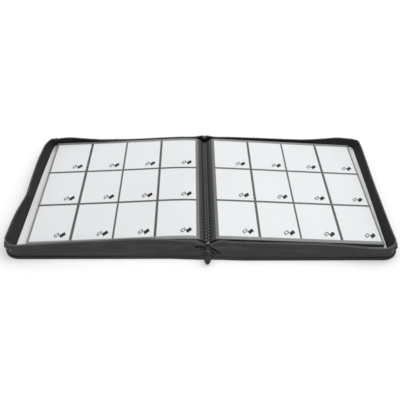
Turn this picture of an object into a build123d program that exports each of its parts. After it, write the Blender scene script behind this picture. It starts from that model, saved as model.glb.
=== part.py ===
from build123d import *
from math import atan2, cos, degrees, hypot, radians, sin
import os

# A zip-round card binder that lies open and flat on a table, in millimetres.
# X runs across both covers, Y from the front edge to the back, Z up from the table.
# The origin is the middle of the underside of the spine.

# Case, seen from above
COVER_REACH = 323.0  # spine centre to the free edge of a cover
CASE_DEPTH = 325.0
CORNER_RADIUS = 27.0
SPINE_HALF_WIDTH = 24.0  # spine centre to the line that a cover folds on
FOLD_GAP = 0.15  # half the slit between the spine skin and a cover skin
PANEL_SETBACK = 4.0  # board and lining stay this far behind the fold line on a cover
SPINE_PANEL_SETBACK = 2.0  # and this far on the spine

# Layers, from the table up
SKIN_TOP = 0.8
BOARD_TOP = 2.8
LINING_TOP = 3.4
WALL_TOP = 21.0
TAPE_TOP = 24.0
TEETH_TOP = 25.2

# Edges of the case: insets are measured in from the outline
PIPING_WIDTH = 2.5
BOARD_INSET = 4.0
WALL_FOOT_OUTER = 2.7
WALL_FOOT_INNER = 15.0
WALL_HEAD_OUTER = 11.0
WALL_HEAD_INNER = 15.0
WALL_START = 44.0  # walls begin this far from the spine centre, gussets fill the rest
TAPE_THICKNESS = 1.6
TEETH_THICKNESS = 2.4

# Leaves
LEAF_INNER_X = 17.0
LEAF_OUTER_X = 294.5
LEAF_DEPTH = 279.0
SHEET_THICKNESS = 0.3
FILM_TOP = 0.7  # film surface above the middle of its sheet
FILM_THICKNESS = 0.15
TOP_LEAF_INNER_Z = 24.45  # middle of the uppermost leaf at its inner and outer edge
TOP_LEAF_OUTER_Z = 10.15
SECOND_LEAF_DROP = 1.8
LOWER_LEAVES = 8
LOWER_INNER_Z = (21.6, 4.7)  # from the third leaf down to the last
LOWER_OUTER_Z = (7.7, 4.42)

# Pockets: four columns by three rows, loaded from the slits beside columns 1 and 4
POCKET_START_X = 18.0
POCKET_PITCH_X = 68.4
POCKET_PITCH_Y = 90.5
POCKET_ROWS = 3
POCKET_LINES = 5
ROW_WELD = 3.0
SLIT_WIDTH = 0.6
INNER_WELD = 0.4
MIDDLE_WELD = 2.4
CARD_WIDTH = 65.2
CARD_DEPTH = 87.1
CARD_THICKNESS = 0.3
CARD_CLEARANCE = 0.2

# Binding between the leaves
BINDING_HALF_WIDTH = 8.0
BINDING_TOP = 4.6
WEB_HALF_GAP = 0.3
WEB_OUTER_X = 16.6
WEB_BOTTOM = 5.2
WEB_VALLEY_Z = 15.5
WEB_CREST_Z = 24.2

# Gussets that close the ends of the spine
GUSSET_FOOT = 160.5  # outer face at the foot, from the middle of the spine
GUSSET_HEAD = {-1: 148.0, 1: 157.0}  # outer face at the head: the front one leans in more
GUSSET_THICKNESS = 3.0
GUSSET_BOTTOM = 3.8
GUSSET_NOTCH_Z = 18.5
GUSSET_NOTCH_WIDTH = 12.0  # from the spine centre
GUSSET_TOP = 24.0
GUSSET_CLEARANCE = 0.3

# Zip end, slider and pull, at the front end of the spine
TAIL_WIDTH = 6.0
TAIL_FRONT = 163.4
TAIL_BACK = 162.2
TAIL_BOTTOM = 2.0
TAIL_TOP = 21.0
STOP_HALF_WIDTH = 2.2
STOP_Y = (144.4, 146.6)
STOP_Z = (18.4, 21.0)
BACK_TAB_HALF_WIDTH = 5.0
BACK_TAB_Y = (151.2, 153.6)
BACK_TAB_Z = (15.0, 20.9)
SLIDER_WIDTH = 9.6
SLIDER_FRONT = 165.6
SLIDER_BACK = 161.1
SLIDER_BOTTOM = 9.0
SLIDER_TOP = 21.4
SLIDER_SLOT = (6.4, 1.6)
SLIDER_CORNER_RADIUS = 1.0
BRIDGE_WIDTH = 3.0
BRIDGE_FRONT = 169.0
BRIDGE_BOTTOM = 16.6
PIVOT_Y = -167.4
PIVOT_Z = 19.0
PIVOT_HOLE_RADIUS = 1.0
PIVOT_PIN_RADIUS = 0.8
PULL_LEAN = 25.0  # degrees out from hanging straight down
PULL_THICKNESS = 1.6
PULL_ARM = (1.9, 3.4)  # inner and outer half width of the two arms
PULL_ARM_TOP = 1.2
PULL_SHOULDER = 4.4
PULL_SHOULDER_RADIUS = 5.2
PULL_TIP = 15.4
PULL_TIP_RADIUS = 3.2

SIDES = {"left": -1, "right": 1}

os.makedirs("parts", exist_ok=True)


def save(part, name):
    """Label a finished piece and write its file."""
    part.label = name
    export_step(part, f"parts/{name}.step")


def cover_outline(side, start_x, inset):
    """One cover from above: square at start_x, round at its two free corners."""
    reach = COVER_REACH - inset
    with BuildSketch() as outline:
        with Locations((side * (start_x + reach) / 2, 0)):
            Rectangle(reach - start_x, CASE_DEPTH - 2 * inset)
        by_distance = outline.vertices().group_by(Axis.X)
        fillet(by_distance[-1] if side > 0 else by_distance[0], radius=CORNER_RADIUS - inset)
    return outline.sketch


def plate(outline, bottom, top):
    """A flat layer of the given outline."""
    with BuildPart() as layer:
        with BuildSketch(Plane.XY.offset(bottom)):
            add(outline)
        extrude(amount=top - bottom)
    return layer.part


def block(x_range, y_range, z_range):
    """A rectangular piece between the given limits."""
    width = x_range[1] - x_range[0]
    depth = y_range[1] - y_range[0]
    with BuildPart() as piece:
        with BuildSketch(Plane.XY.offset(z_range[0])):
            with Locations((sum(x_range) / 2, sum(y_range) / 2)):
                Rectangle(width, depth)
        extrude(amount=z_range[1] - z_range[0])
    return piece.part


def edge_band(side, start_x, insets, levels):
    """A band that follows the cover's three free edges, between two insets and two levels."""
    outer = cover_outline(side, start_x, insets[0])
    inner = cover_outline(side, 0, insets[1])
    with BuildPart() as band:
        with BuildSketch(Plane.XY.offset(levels[0])):
            add(outer)
            add(inner, mode=Mode.SUBTRACT)
        extrude(amount=levels[1] - levels[0])
    return band.part


def cover_wall(side):
    """The stiffened wall: wide at the foot, narrow at the head, open towards the spine."""
    height = WALL_TOP - LINING_TOP
    outer_lean = degrees(atan2(WALL_HEAD_OUTER - WALL_FOOT_OUTER, height))
    inner_lean = degrees(atan2(WALL_FOOT_INNER - WALL_HEAD_INNER, height))
    outer = cover_outline(side, 0, WALL_FOOT_OUTER)
    inner = cover_outline(side, -WALL_START, WALL_FOOT_INNER)
    with BuildPart() as wall:
        with BuildSketch(Plane.XY.offset(LINING_TOP)):
            add(outer)
        extrude(amount=height, taper=outer_lean)
        with BuildSketch(Plane.XY.offset(LINING_TOP)):
            add(inner)
        extrude(amount=height, taper=-inner_lean, mode=Mode.SUBTRACT)
        keep = Keep.TOP if side > 0 else Keep.BOTTOM
        split(bisect_by=Plane.YZ.offset(side * WALL_START), keep=keep)
    return wall.part


def leaf_plane(side, inner_z, outer_z):
    """The plane through the middle of a leaf, from its inner edge, sloping to its outer edge."""
    run = LEAF_OUTER_X - LEAF_INNER_X
    drop = inner_z - outer_z
    return Plane(
        origin=(side * LEAF_INNER_X, 0, inner_z),
        x_dir=(run, 0, -side * drop),
        z_dir=(side * drop, 0, run),
    )


def leaf_sheet(side, inner_z, outer_z):
    """The backing sheet of one leaf."""
    plane = leaf_plane(side, inner_z, outer_z)
    length = hypot(LEAF_OUTER_X - LEAF_INNER_X, inner_z - outer_z)
    with BuildPart() as sheet:
        with BuildSketch(plane.offset(-SHEET_THICKNESS / 2)):
            with Locations((side * length / 2, 0)):
                Rectangle(length, LEAF_DEPTH)
        extrude(amount=SHEET_THICKNESS)
    return sheet.part


def film_strips():
    """Each clear strip with its pockets, as distances from the leaf's inner edge."""
    lines = [POCKET_START_X + POCKET_PITCH_X * column - LEAF_INNER_X for column in range(POCKET_LINES)]
    end = LEAF_OUTER_X - LEAF_INNER_X
    slit = SLIT_WIDTH / 2
    middle = MIDDLE_WELD / 2
    first = (0, lines[1] - slit, [(lines[0] + INNER_WELD, lines[1])])
    pair = [(lines[1], lines[2] - middle), (lines[2] + middle, lines[3])]
    second = (lines[1] + slit, lines[3] - slit, pair)
    third = (lines[3] + slit, end, [(lines[3], lines[4])])
    return [first, second, third]


def row_centres():
    """Middle of each row of pockets."""
    return [POCKET_PITCH_Y * (row - (POCKET_ROWS - 1) / 2) for row in range(POCKET_ROWS)]


def leaf_films(side, inner_z, outer_z, faces):
    """Clear strips welded to the sheet, hollow where a card goes in, on the given faces."""
    plane = leaf_plane(side, inner_z, outer_z)
    with BuildPart() as films:
        for face in faces:
            base = plane.offset(face * SHEET_THICKNESS / 2)
            for start, end, pockets in film_strips():
                with BuildSketch(base):
                    with Locations((side * (start + end) / 2, 0)):
                        Rectangle(end - start, LEAF_DEPTH)
                extrude(amount=face * (FILM_TOP - SHEET_THICKNESS / 2))
                with BuildSketch(base):
                    for low, high in pockets:
                        with Locations([(side * (low + high) / 2, y) for y in row_centres()]):
                            Rectangle(high - low, POCKET_PITCH_Y - ROW_WELD)
                hollow = FILM_TOP - FILM_THICKNESS - SHEET_THICKNESS / 2
                extrude(amount=face * hollow, mode=Mode.SUBTRACT)
    return films.part


def leaf_cards(side, inner_z, outer_z, faces):
    """A blank card in each pocket, pushed up against the pocket's closed end."""
    plane = leaf_plane(side, inner_z, outer_z)
    lines = [POCKET_START_X + POCKET_PITCH_X * column - LEAF_INNER_X for column in range(POCKET_LINES)]
    half = CARD_WIDTH / 2 + CARD_CLEARANCE
    columns = [
        lines[0] + INNER_WELD + half,
        lines[2] - MIDDLE_WELD / 2 - half,
        lines[2] + MIDDLE_WELD / 2 + half,
        lines[4] - half,
    ]
    gap = (FILM_TOP - FILM_THICKNESS - SHEET_THICKNESS / 2 - CARD_THICKNESS) / 2
    with BuildPart() as cards:
        for face in faces:
            with BuildSketch(plane.offset(face * (SHEET_THICKNESS / 2 + gap))):
                with Locations([(side * x, y) for x in columns for y in row_centres()]):
                    Rectangle(CARD_WIDTH, CARD_DEPTH)
            extrude(amount=face * CARD_THICKNESS)
    return cards.part


def gutter_web(side):
    """The folded inner margins of one side's leaves, falling to the valley between the pages."""
    with BuildPart() as web:
        with BuildSketch(Plane.XZ):
            Polygon(
                (side * WEB_HALF_GAP, WEB_BOTTOM),
                (side * WEB_OUTER_X, WEB_BOTTOM),
                (side * WEB_OUTER_X, WEB_CREST_Z),
                (side * WEB_HALF_GAP, WEB_VALLEY_Z),
                align=None,
            )
        extrude(amount=LEAF_DEPTH / 2, both=True)
    return web.part


def gusset(side, end):
    """The soft end wall from the spine centre to a cover's wall: leaning in, notched at the centre."""
    width = WALL_START - 2 * GUSSET_CLEARANCE
    with BuildPart() as wall:
        with BuildSketch(Plane.YZ.offset(side * GUSSET_CLEARANCE)):
            Polygon(
                (end * GUSSET_FOOT, GUSSET_BOTTOM),
                (end * (GUSSET_FOOT - GUSSET_THICKNESS), GUSSET_BOTTOM),
                (end * (GUSSET_HEAD[end] - GUSSET_THICKNESS), GUSSET_TOP),
                (end * GUSSET_HEAD[end], GUSSET_TOP),
                align=None,
            )
        extrude(amount=side * width)
        with BuildSketch(Plane.XZ):
            Polygon(
                (0, GUSSET_NOTCH_Z),
                (side * GUSSET_NOTCH_WIDTH, GUSSET_TOP),
                (0, GUSSET_TOP),
                align=None,
            )
        extrude(amount=CASE_DEPTH / 2, both=True, mode=Mode.SUBTRACT)
    return wall.part


def zip_slider():
    """Slider body with a slot for the zip's end and a bridge for the pull."""
    middle = -(SLIDER_FRONT + SLIDER_BACK) / 2
    slot = -(TAIL_FRONT + TAIL_BACK) / 2
    with BuildPart() as slider:
        with BuildSketch(Plane.XY.offset(SLIDER_BOTTOM)):
            with Locations((0, middle)):
                RectangleRounded(SLIDER_WIDTH, SLIDER_FRONT - SLIDER_BACK, SLIDER_CORNER_RADIUS)
        extrude(amount=SLIDER_TOP - SLIDER_BOTTOM)
        with BuildSketch(Plane.XY.offset(BRIDGE_BOTTOM)):
            with Locations((0, -(SLIDER_FRONT + BRIDGE_FRONT) / 2)):
                Rectangle(BRIDGE_WIDTH, BRIDGE_FRONT - SLIDER_FRONT)
        extrude(amount=SLIDER_TOP - BRIDGE_BOTTOM)
        with BuildSketch(Plane.XY.offset(SLIDER_BOTTOM)):
            with Locations((0, slot)):
                Rectangle(*SLIDER_SLOT)
        extrude(amount=SLIDER_TOP - SLIDER_BOTTOM, mode=Mode.SUBTRACT)
        with BuildSketch(Plane.YZ.offset(-BRIDGE_WIDTH)):
            with Locations((PIVOT_Y, PIVOT_Z)):
                Circle(PIVOT_HOLE_RADIUS)
        extrude(amount=2 * BRIDGE_WIDTH, mode=Mode.SUBTRACT)
    return slider.part


def zip_pull():
    """Pull: a pin through the bridge, two arms and a tapered solid tab, leaning out at rest."""
    lean = radians(PULL_LEAN)
    hang = Plane(origin=(0, PIVOT_Y, PIVOT_Z), x_dir=(1, 0, 0), z_dir=(0, -cos(lean), sin(lean)))
    arm_middle = sum(PULL_ARM) / 2
    with BuildPart() as pull:
        with BuildSketch(hang.offset(-PULL_THICKNESS / 2)):
            with BuildSketch(mode=Mode.PRIVATE) as tab:
                with Locations((0, -PULL_SHOULDER - PULL_SHOULDER_RADIUS)):
                    Circle(PULL_SHOULDER_RADIUS)
                with Locations((0, -PULL_TIP)):
                    Circle(PULL_TIP_RADIUS)
                make_hull()
            add(tab.sketch)
            with Locations((-arm_middle, 0), (arm_middle, 0)):
                reach = PULL_ARM_TOP + PULL_SHOULDER + PULL_SHOULDER_RADIUS
                Rectangle(PULL_ARM[1] - PULL_ARM[0], reach, align=(Align.CENTER, Align.MAX))
        extrude(amount=PULL_THICKNESS)
        with BuildSketch(Plane.YZ.offset(-PULL_ARM[1])):
            with Locations((PIVOT_Y, PIVOT_Z)):
                Circle(PIVOT_PIN_RADIUS)
        extrude(amount=2 * PULL_ARM[1])
    return pull.part


# Both covers, with the leaves that lie in them
lower_steps = LOWER_LEAVES - 1
for name, side in SIDES.items():
    skin_outline = cover_outline(side, SPINE_HALF_WIDTH + FOLD_GAP, 0)
    board_outline = cover_outline(side, SPINE_HALF_WIDTH + PANEL_SETBACK, BOARD_INSET)
    lining_outline = cover_outline(side, SPINE_HALF_WIDTH + PANEL_SETBACK, PIPING_WIDTH)
    save(plate(skin_outline, 0, SKIN_TOP), f"{name}_cover_skin")
    save(plate(board_outline, SKIN_TOP, BOARD_TOP), f"{name}_cover_board")
    save(plate(lining_outline, BOARD_TOP, LINING_TOP), f"{name}_cover_lining")
    piping_start = SPINE_HALF_WIDTH + PANEL_SETBACK
    save(edge_band(side, piping_start, (0, PIPING_WIDTH), (SKIN_TOP, LINING_TOP)), f"{name}_piping")
    save(cover_wall(side), f"{name}_wall")
    zip_inset = (WALL_HEAD_OUTER + WALL_HEAD_INNER) / 2
    tape_insets = (zip_inset - TAPE_THICKNESS / 2, zip_inset + TAPE_THICKNESS / 2)
    save(edge_band(side, WALL_START, tape_insets, (WALL_TOP, TAPE_TOP)), f"{name}_zip_tape")
    teeth_insets = (zip_inset - TEETH_THICKNESS / 2, zip_inset + TEETH_THICKNESS / 2)
    save(edge_band(side, WALL_START, teeth_insets, (TAPE_TOP, TEETH_TOP)), f"{name}_zip_teeth")

    top = (side, TOP_LEAF_INNER_Z, TOP_LEAF_OUTER_Z)
    save(leaf_sheet(*top), f"{name}_top_leaf_sheet")
    save(leaf_films(*top, (1, -1)), f"{name}_top_leaf_films")
    save(leaf_cards(*top, (1, -1)), f"{name}_top_leaf_cards")
    second = (side, TOP_LEAF_INNER_Z - SECOND_LEAF_DROP, TOP_LEAF_OUTER_Z - SECOND_LEAF_DROP)
    save(leaf_sheet(*second), f"{name}_leaf_2_sheet")
    save(leaf_films(*second, (1,)), f"{name}_leaf_2_films")
    save(leaf_cards(*second, (1,)), f"{name}_leaf_2_cards")
    for index in range(LOWER_LEAVES):
        share = index / lower_steps
        inner_z = LOWER_INNER_Z[0] + share * (LOWER_INNER_Z[1] - LOWER_INNER_Z[0])
        outer_z = LOWER_OUTER_Z[0] + share * (LOWER_OUTER_Z[1] - LOWER_OUTER_Z[0])
        save(leaf_sheet(side, inner_z, outer_z), f"{name}_leaf_{index + 3}")

    save(gutter_web(side), f"{name}_gutter_web")
    save(gusset(side, -1), f"{name}_front_gusset")
    save(gusset(side, 1), f"{name}_back_gusset")

# Spine
skin_half = SPINE_HALF_WIDTH - FOLD_GAP
panel_half = SPINE_HALF_WIDTH - SPINE_PANEL_SETBACK
half_depth = CASE_DEPTH / 2
board_half_depth = half_depth - BOARD_INSET
leaf_half_depth = LEAF_DEPTH / 2
save(block((-skin_half, skin_half), (-half_depth, half_depth), (0, SKIN_TOP)), "spine_skin")
board_y = (-board_half_depth, board_half_depth)
save(block((-panel_half, panel_half), board_y, (SKIN_TOP, BOARD_TOP)), "spine_board")
save(block((-panel_half, panel_half), board_y, (BOARD_TOP, LINING_TOP)), "spine_lining")
binding_x = (-BINDING_HALF_WIDTH, BINDING_HALF_WIDTH)
save(block(binding_x, (-leaf_half_depth, leaf_half_depth), (LINING_TOP, BINDING_TOP)), "binding_strip")

# Zip ends at the front and the back of the spine
tail_x = (-TAIL_WIDTH / 2, TAIL_WIDTH / 2)
save(block(tail_x, (-TAIL_FRONT, -TAIL_BACK), (TAIL_BOTTOM, TAIL_TOP)), "zip_tail")
stop_x = (-STOP_HALF_WIDTH, STOP_HALF_WIDTH)
save(block(stop_x, (-STOP_Y[1], -STOP_Y[0]), STOP_Z), "zip_end_stop")
tab_x = (-BACK_TAB_HALF_WIDTH, BACK_TAB_HALF_WIDTH)
save(block(tab_x, BACK_TAB_Y, BACK_TAB_Z), "back_zip_tab")
save(zip_slider(), "zip_slider")
save(zip_pull(), "zip_pull")
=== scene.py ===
import bmesh
import bpy
import numpy as np
from bpy.props import FloatProperty, FloatVectorProperty, IntProperty, PointerProperty
from mathutils import Matrix, Vector


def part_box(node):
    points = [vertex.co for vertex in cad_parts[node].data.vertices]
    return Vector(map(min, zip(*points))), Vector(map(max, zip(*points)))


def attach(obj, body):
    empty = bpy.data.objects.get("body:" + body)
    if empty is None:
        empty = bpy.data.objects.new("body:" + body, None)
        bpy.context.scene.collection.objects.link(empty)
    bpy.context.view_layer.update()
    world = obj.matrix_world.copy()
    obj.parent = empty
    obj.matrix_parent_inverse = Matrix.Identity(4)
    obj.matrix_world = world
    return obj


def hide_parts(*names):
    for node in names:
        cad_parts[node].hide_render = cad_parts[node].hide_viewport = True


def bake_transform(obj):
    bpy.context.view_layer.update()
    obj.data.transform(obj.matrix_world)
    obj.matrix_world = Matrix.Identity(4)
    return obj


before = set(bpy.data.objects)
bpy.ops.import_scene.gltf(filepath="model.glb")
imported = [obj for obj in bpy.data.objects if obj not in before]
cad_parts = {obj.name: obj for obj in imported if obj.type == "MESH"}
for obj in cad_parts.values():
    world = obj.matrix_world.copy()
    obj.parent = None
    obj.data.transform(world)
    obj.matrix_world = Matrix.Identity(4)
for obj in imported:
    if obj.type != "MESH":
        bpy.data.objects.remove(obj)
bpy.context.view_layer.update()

bl_info = {
    "name": "Zip-round card binder",
    "version": (1, 0, 0),
    "blender": (4, 5, 0),
    "location": "3D View > Sidebar > Binder",
    "description": "Makes the soft case, the pocket pages and the zip of an open card binder",
    "category": "Object",
}

MM = 0.001  # the makers below work in millimetres, and place() turns them into metres
SIDES = {"left": -1, "right": 1}


def span(node):
    """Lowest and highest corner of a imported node, in millimetres."""
    low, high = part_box(node)
    return np.array(low) / MM, np.array(high) / MM


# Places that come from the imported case
SKIN_LOW, SKIN_HIGH = span("right_cover_skin")
REACH = SKIN_HIGH[0]
HALF_DEPTH = SKIN_HIGH[1]
SKIN_TOP = SKIN_HIGH[2]
FOLD = SKIN_LOW[0]
LINING_LOW, LINING_HIGH = span("right_cover_lining")
WALL_START = span("right_wall")[0][0]  # where the wall takes over from the end gusset, along the outline
GUTTER_HALF = span("right_gutter_web")[1][1]
TEETH_TOP = span("right_zip_teeth")[1][2]
LEAF_LOW, LEAF_HIGH = span("right_top_leaf_sheet")
SHEET_HALF = 0.15  # half the thickness of a page's backing sheet

# How the soft case is pushed out of shape: from how far out, and over what further length
SWING_START, SWING_RAMP = 6, 60
SKEW_START, SKEW_RAMP = 44, 200
RIGHT_EXTRA_SKEW = 0.6  # how much more the right side is pushed than the left

# The rim's upper edge: distance round the rim from the spine, how far it leans in, how much more of that
# the left case has than the right one (as half their difference), and its height
RIM_TOP_EDGE = np.array([
    (0, 17.2, 0.0, 19.2), (6, 17.6, 0.0, 20.2), (14, 19.8, 0.2, 23.2), (44, 20.2, 0.8, 24.2),
    (120, 19.7, 2.7, 24.6), (168, 17.0, 1.6, 24.8), (215, 13.8, 1.4, 24.9), (245, 10.4, 2.0, 25.0),
    (275, 6.8, 2.8, 25.0), (290, 6.0, 2.6, 25.0), (312, 4.4, 0.0, 25.0), (330, 4.1, -1.5, 25.0),
    (350, 4.6, -2.2, 25.0), (400, 6.4, -1.9, 25.0), (430, 8.7, 0.0, 25.0), (448, 9.8, 0.8, 25.0),
    (473, 9.0, -0.4, 25.0), (500, 8.5, -0.8, 25.0), (560, 8.1, -0.8, 25.0), (598, 9.7, 0.7, 24.2),
    (615, 13.5, 3.0, 23.4), (632, 18.7, 4.3, 22.7), (648, 18.8, 4.2, 22.5), (660, 16.9, 3.6, 22.8),
    (672, 14.8, 3.4, 22.9), (700, 16.4, 3.2, 21.9), (742, 19.8, 3.2, 20.9), (772, 19.0, 3.0, 21.0),
    (832, 15.0, 2.0, 21.4), (897, 10.4, 0.4, 21.4), (930, 8.8, 0.0, 21.4), (941, 8.4, 0.0, 23.4),
    (947.2, 8.4, 0.0, 24.0),
])


# Numbers and shapes ------------------------------------------------------------------------------

def smooth_step(value):
    """0 below 0, 1 above 1, and three times the square less twice the cube between."""
    value = np.clip(value, 0, 1)
    return value * value * (3 - 2 * value)


def smooth_curve(at, stations, values):
    """A curve through the values: a cubic between neighbours, each with the slope of its neighbours' chord."""
    slopes = np.gradient(values, stations)
    index = np.clip(np.searchsorted(stations, at, side="right") - 1, 0, len(stations) - 2)
    width = stations[index + 1] - stations[index]
    t = (at - stations[index]) / width
    rise = values[index + 1] - values[index]
    start, end = slopes[index] * width, slopes[index + 1] * width
    return values[index] + t * (start + t * (3 * rise - 2 * start - end + t * (start + end - 2 * rise)))


def ripple(a, b, seed):
    """A smooth unevenness between about -1 and 1: four sine waves of a and b at unrelated angles and phases."""
    draw = np.random.default_rng(seed)
    total = np.zeros(np.broadcast(a, b).shape)
    for wave in range(4):
        angle, phase = draw.uniform(0, 2 * np.pi, 2)
        rate = 2 * np.pi * 1.6 ** wave
        total = total + np.sin(rate * (a * np.cos(angle) + b * np.sin(angle)) + phase) * 0.72 ** wave
    return total / 2.2


def bell(value, width):
    """1 at 0, falling on both sides as the exponential of minus the square of value over width."""
    return np.exp(-(value / width) ** 2)


def beat(at, pitch):
    """A raised cosine: 1 at every multiple of the pitch and 0 halfway between."""
    return 0.5 + 0.5 * np.cos(2 * np.pi * at / pitch)


def once_round(steps):
    """Even angles once round."""
    return np.arange(steps) / steps * 2 * np.pi


def outline_corner():
    """Radius of the outline's corners, and how far out its straight part runs."""
    radius = bpy.context.scene.binder_case.corner_radius / MM
    return radius, REACH - radius


def rim(side, stations):
    """Points of the case's outline in plan, and their outward directions.
    A station is the distance along the outline from the front of the spine: straight out, a quarter circle
    round the front corner, straight back along the free edge, a quarter circle and straight in again."""
    radius, straight = outline_corner()
    quarter = radius * np.pi / 2
    edge = 2 * (HALF_DEPTH - radius)
    turns = turn_share(stations, straight, quarter)
    turns = turns + turn_share(stations, straight + quarter + edge, quarter)
    angle = (turns - 1) * np.pi / 2
    x = np.clip(stations, 0, straight) - np.clip(stations - straight - 2 * quarter - edge, 0, straight)
    y = radius - HALF_DEPTH + np.clip(stations - straight - quarter, 0, edge)
    outward = np.stack([side * np.cos(angle), np.sin(angle), np.zeros_like(angle)], -1)
    centre = np.stack([side * x, y, np.zeros_like(x)], -1)
    return centre + radius * outward, outward


def turn_share(stations, start, length):
    """How much of one quarter turn is done at each station, from 0 to 1."""
    return np.clip((stations - start) / length, 0, 1)


def rim_length():
    """Length of a cover's outline from the front of the spine to its back."""
    radius, straight = outline_corner()
    return 2 * straight + np.pi * radius + 2 * (HALF_DEPTH - radius)


def rim_slope(side, stations):
    """Foot and top of the wall's outer face as pairs of inset and height, with the unit slope from one to the
    other and its outward normal."""
    case = bpy.context.scene.binder_case
    scale = rim_length() / RIM_TOP_EDGE[-1, 0]
    at = stations / scale
    table = RIM_TOP_EDGE.T
    lean, difference, height = (smooth_curve(at, table[0], column) for column in table[1:])
    lean = lean - side * case.unevenness * difference
    foot = np.stack([np.full_like(at, case.wall_foot_inset / MM), np.full_like(at, LINING_HIGH[2])], -1)
    top = np.stack([lean, np.minimum(height, TEETH_TOP)], -1)
    slope = top - foot
    slope = slope / np.linalg.norm(slope, axis=-1, keepdims=True)
    normal = np.stack([-slope[:, 1], slope[:, 0]], -1)
    return foot, top, slope, normal


def skewed(points):
    """The case pushed to the left, more on the right: most at the front corners, by the 1.5th power of the
    distance from the back edge, and not at all at the spine. The right front edge is swung forward and the left
    one back, and the back corners are drawn a little to the right, by the 6th power of the distance from the
    front edge."""
    share = np.clip((HALF_DEPTH - points[..., 1]) / (2 * HALF_DEPTH), 0, 1) ** 1.5
    away = np.abs(points[..., 0])
    case = bpy.context.scene.binder_case
    swung = share * smooth_step((away - SWING_START) / SWING_RAMP)
    points[..., 1] -= case.swing / MM * swung * np.sign(points[..., 0])
    skew = case.skew / MM * (1 + RIGHT_EXTRA_SKEW * (points[..., 0] > 0))
    drawn = case.back_skew / MM * np.clip(0.5 + points[..., 1] / (2 * HALF_DEPTH), 0, 1) ** 6
    points[..., 0] -= (skew * share - drawn) * smooth_step((away - SKEW_START) / SKEW_RAMP)
    return points


def on_rim(side, stations, section):
    """Points of the case from sections of inset and height, one section for each station."""
    base, outward = rim(side, stations)
    points = base[:, None] - outward[:, None] * section[..., :1]
    points[..., 2] = section[..., 1]
    return skewed(points)


def grid_faces(rows, columns, wrap_rows=False, wrap_columns=False):
    """Quads of a grid of points, row by row, joined round where it wraps."""
    r = np.arange(rows if wrap_rows else rows - 1)
    c = np.arange(columns if wrap_columns else columns - 1)
    r, c = (a.ravel() for a in np.meshgrid(r, c, indexing="ij"))
    below, beside = (r + 1) % rows, (c + 1) % columns
    return np.stack([r * columns + c, below * columns + c, below * columns + beside, r * columns + beside], -1)


def sweep(points):
    """A closed section carried along a line, with a flat face over each end."""
    rows, columns = points.shape[:2]
    faces = grid_faces(rows, columns, wrap_columns=True).tolist()
    first = list(range(columns))
    last = [(rows - 1) * columns + c for c in range(columns)]
    return points.reshape(-1, 3), faces + [first[::-1], last]


def loop(points):
    """A closed section carried round a closed line."""
    rows, columns = points.shape[:2]
    return points.reshape(-1, 3), grid_faces(rows, columns, True, True).tolist()


def shell(top, thickness):
    """A sheet with a thickness: the grid, the grid moved against its normal, and a strip round their edges."""
    rows, columns = top.shape[:2]
    normal = np.cross(np.gradient(top, axis=0), np.gradient(top, axis=1))
    normal = normal / np.linalg.norm(normal, axis=-1, keepdims=True)
    normal = normal * np.sign(np.mean(normal[..., 2]) or 1)
    bottom = top - normal * np.asarray(thickness)[..., None]
    index = np.arange(rows * columns).reshape(rows, columns)
    edge = np.concatenate([index[0, :-1], index[:-1, -1], index[-1, :0:-1], index[:0:-1, 0]])
    after = np.roll(edge, -1)
    faces = grid_faces(rows, columns)
    under = faces[:, ::-1] + rows * columns
    strip = np.stack([edge, after, after + rows * columns, edge + rows * columns], -1)
    points = np.concatenate([top.reshape(-1, 3), bottom.reshape(-1, 3)])
    return points, np.concatenate([faces, under, strip]).tolist()


def joined(shapes):
    """Several closed shapes as one."""
    points, faces, count = [], [], 0
    for shape_points, shape_faces in shapes:
        points.append(shape_points)
        faces += [[count + i for i in face] for face in shape_faces]
        count += len(shape_points)
    return np.concatenate(points), faces


def repeated(shape, origins, axes):
    """One shape at each origin, turned by that origin's three axes."""
    points, faces = shape
    placed = origins[:, None] + np.einsum("pk,nkj->npj", points, axes)
    offsets = np.arange(len(origins)) * len(points)
    quads = np.array([f for f in faces if len(f) == 4])
    others = [f for f in faces if len(f) != 4]
    result = (quads[None] + offsets[:, None, None]).reshape(-1, 4).tolist()
    for face in others:
        result += (np.array(face)[None] + offsets[:, None]).tolist()
    return placed.reshape(-1, 3), result


def rounded_box_outline(width, depth, radius, steps=5):
    """An upright rectangle with a quarter circle at each corner, anticlockwise."""
    angle = np.linspace(0, np.pi / 2, steps)
    angle = (angle[None] + np.arange(4)[:, None] * np.pi / 2).ravel()
    corner = np.repeat(np.array([(1, 1), (-1, 1), (-1, -1), (1, -1)]), steps, axis=0)
    x = corner[:, 0] * (width / 2 - radius) + radius * np.cos(angle)
    y = corner[:, 1] * (depth / 2 - radius) + radius * np.sin(angle)
    return np.stack([x, y], -1)


def hull_outline(circles, steps=48):
    """The outline of a band drawn round circles, each a centre and a radius: in every direction, the point of
    the circle that reaches furthest."""
    angle = once_round(steps)
    direction = np.stack([np.cos(angle), np.sin(angle)], -1)
    centres = np.array([c[:2] for c in circles], float)
    radii = np.array([c[2] for c in circles], float)
    furthest = np.argmax(direction @ centres.T + radii, axis=1)
    return centres[furthest] + direction * radii[furthest, None]


def inset_outline(outline, distance):
    """An anticlockwise outline moved inwards along its normals."""
    along = np.roll(outline, -1, axis=0) - np.roll(outline, 1, axis=0)
    along = along / np.linalg.norm(along, axis=-1, keepdims=True)
    return outline + np.stack([-along[:, 1], along[:, 0]], -1) * distance


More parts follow.
